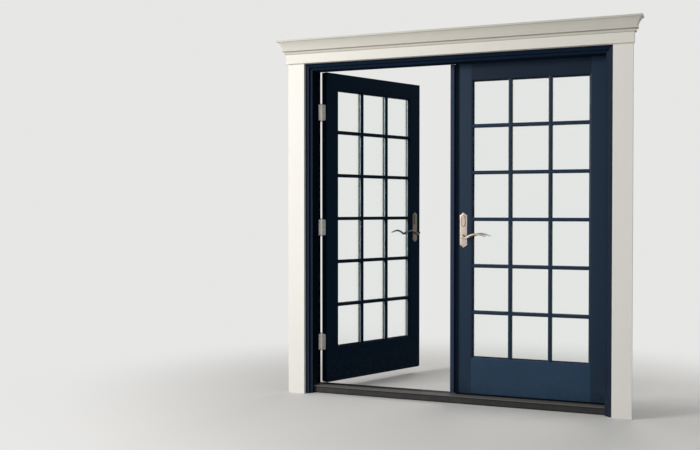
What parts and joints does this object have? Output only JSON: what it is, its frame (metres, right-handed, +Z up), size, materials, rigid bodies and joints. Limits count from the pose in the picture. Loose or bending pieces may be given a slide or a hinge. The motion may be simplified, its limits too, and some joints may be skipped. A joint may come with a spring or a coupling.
{
  "type": "french doors",
  "caption": "Glazed inswing french doors with divided lites, in their frame with sill, casings and crown.",
  "frame": {"origin": "middle of the underside of the sill, halfway through the depth of the jambs", "axes": "+X to the right seen from outdoors, +Y indoors, +Z up"},
  "size_m": [2.216, 1.0925, 2.236],
  "materials": {
    "leaf_paint": "dark navy satin paint",
    "frame_paint": "darker navy satin paint",
    "trim_paint": "off-white satin paint",
    "sill_bronze": "dark anodised",
    "threshold_metal": "mill finish, dulled",
    "seal_rubber": "matt black",
    "pane_glass": "clear",
    "spacer_metal": "matt",
    "satin_nickel": "satin nickel",
    "lock_steel": "zinc plated"
  },
  "bodies": {
    "frame": {"left_jamb": "frame_paint", "right_jamb": "frame_paint", "head_jamb": "frame_paint", "sill": "sill_bronze", "threshold": "threshold_metal", "frame_weatherstrips": "seal_rubber", "left_casing": "trim_paint", "right_casing": "trim_paint", "frieze_board": "trim_paint", "bed_mould": "trim_paint", "crown_moulding": "trim_paint", "frame_hinge_halves": "satin_nickel", "frame_hinge_screws": "satin_nickel", "hinge_pins": "satin_nickel"},
    "left_leaf": {"left_hinge_stile": "leaf_paint", "left_lock_stile": "leaf_paint", "left_top_rail": "leaf_paint", "left_bottom_rail": "leaf_paint", "left_glass_panes": "pane_glass", "left_glass_spacer": "spacer_metal", "left_glazing_beads": "leaf_paint", "left_outer_bars": "leaf_paint", "left_inner_bars": "leaf_paint", "left_hinge_halves": "satin_nickel", "left_hinge_screws": "satin_nickel", "left_outer_plate": "satin_nickel", "left_inner_plate": "satin_nickel", "left_key_cylinder": "satin_nickel", "left_lock_case": "lock_steel", "left_bottom_sweep": "seal_rubber"},
    "right_leaf": {"right_hinge_stile": "leaf_paint", "right_lock_stile": "leaf_paint", "right_top_rail": "leaf_paint", "right_bottom_rail": "leaf_paint", "right_glass_panes": "pane_glass", "right_glass_spacer": "spacer_metal", "right_glazing_beads": "leaf_paint", "right_outer_bars": "leaf_paint", "right_inner_bars": "leaf_paint", "right_hinge_halves": "satin_nickel", "right_hinge_screws": "satin_nickel", "right_outer_plate": "satin_nickel", "right_inner_plate": "satin_nickel", "right_key_cylinder": "satin_nickel", "right_lock_case": "lock_steel", "right_bottom_sweep": "seal_rubber", "right_strike_plate": "satin_nickel", "astragal": "leaf_paint", "astragal_seals": "seal_rubber"},
    "left_levers": {"left_outer_lever": "satin_nickel", "left_inner_lever": "satin_nickel", "left_spindle": "lock_steel"},
    "right_levers": {"right_outer_lever": "satin_nickel", "right_inner_lever": "satin_nickel", "right_spindle": "lock_steel"},
    "left_latch": {"left_latch_bolt": "satin_nickel"},
    "left_deadbolt_body": {"left_deadbolt": "satin_nickel"},
    "left_turn": {"left_thumb_turn": "satin_nickel"},
    "right_top_rod": {"right_top_bolt": "lock_steel"},
    "right_bottom_rod": {"right_bottom_bolt": "lock_steel"}
  },
  "joints": [
    {"name": "left_leaf_hinge", "type": "hinge", "parent": "frame", "child": "left_leaf", "pos_m": [-0.9115, 0.0905, 1.054], "axis": [0, 0, 1], "range_deg": [-66, 49]},
    {"name": "right_leaf_hinge", "type": "hinge", "parent": "frame", "child": "right_leaf", "pos_m": [0.9115, 0.0905, 1.054], "axis": [0, 0, -1], "range_deg": [0, 115]},
    {"name": "left_lever_turn", "type": "hinge", "parent": "left_leaf", "child": "left_levers", "pos_m": [-0.53621, 0.86151, 1.006], "axis": [0.9135, -0.4067, 0], "range_deg": [0, 45], "stiffness_Nm_per_rad": 1.2, "springref_deg": -45.84},
    {"name": "right_lever_turn", "type": "hinge", "parent": "right_leaf", "child": "right_levers", "pos_m": [0.0545, 0.06125, 1.006], "axis": [0, -1, 0], "range_deg": [0, 45]},
    {"name": "left_latch_slide", "type": "slide", "parent": "left_leaf", "child": "left_latch", "axis": [-0.4067, -0.9135, 0], "range_m": [0, 0.012]},
    {"name": "left_thumb_turn_hinge", "type": "hinge", "parent": "left_leaf", "child": "left_turn", "pos_m": [-0.55653, 0.87056, 1.0995], "axis": [-0.9135, 0.4067, 0], "range_deg": [0, 90]},
    {"name": "left_deadbolt_slide", "type": "slide", "parent": "left_leaf", "child": "left_deadbolt_body", "axis": [0.4067, 0.9135, 0], "range_m": [0, 0.022]},
    {"name": "right_top_bolt_slide", "type": "slide", "parent": "right_leaf", "child": "right_top_rod", "axis": [0, 0, 1], "range_m": [0, 0.018]},
    {"name": "right_bottom_bolt_slide", "type": "slide", "parent": "right_leaf", "child": "right_bottom_rod", "axis": [0, 0, -1], "range_m": [0, 0.018]}
  ],
  "couplings": [
    {"joint": "left_latch_slide", "follows": "left_lever_turn", "m_per_rad": 0.01527},
    {"joint": "left_deadbolt_slide", "follows": "left_thumb_turn_hinge", "m_per_rad": 0.014},
    {"joint": "right_top_bolt_slide", "follows": "right_lever_turn", "m_per_rad": 0.0229},
    {"joint": "right_bottom_bolt_slide", "follows": "right_lever_turn", "m_per_rad": 0.0229}
  ]
}
